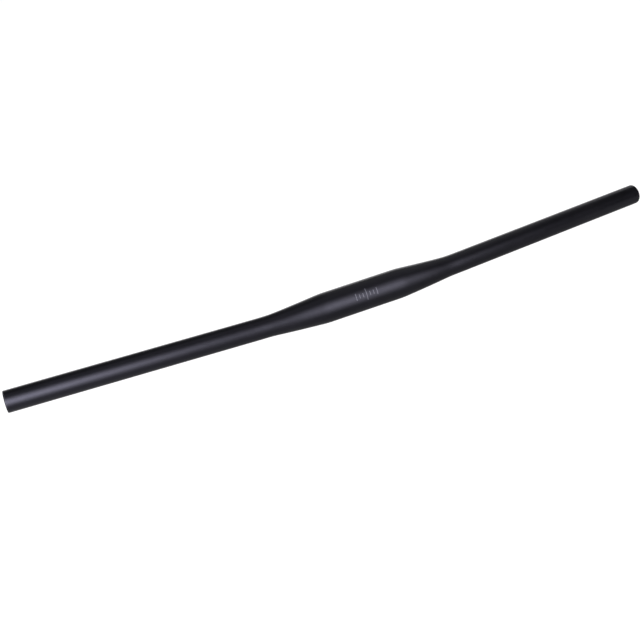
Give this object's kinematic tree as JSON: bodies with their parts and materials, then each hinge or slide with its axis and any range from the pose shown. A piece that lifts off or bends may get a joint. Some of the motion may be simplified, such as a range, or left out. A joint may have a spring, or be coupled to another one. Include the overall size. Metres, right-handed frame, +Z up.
{
  "type": "flat handlebar",
  "caption": "Flat bicycle handlebar: a black aluminium tube, thick at the stem clamp seat, tapered to straight grips that sweep back slightly, open at both ends.",
  "frame": {"origin": "middle of the stem clamp seat, on its axis", "axes": "+X along the clamp seat towards the right grip, +Y the side that the grips sweep back to, +Z up with the bar as it lies at rest on its seat and on both ends, which rolls the plane of the sweep 11.5 degrees about X with the ends down"},
  "size_m": [0.7418, 0.0505, 0.0318],
  "materials": {
    "black_anodised": "bead-blasted, matte black anodised",
    "grey_print": "thin tone-on-tone alignment ticks"
  },
  "bodies": {
    "root": {"handlebar_tube": "black_anodised"}
  },
  "joints": []
}
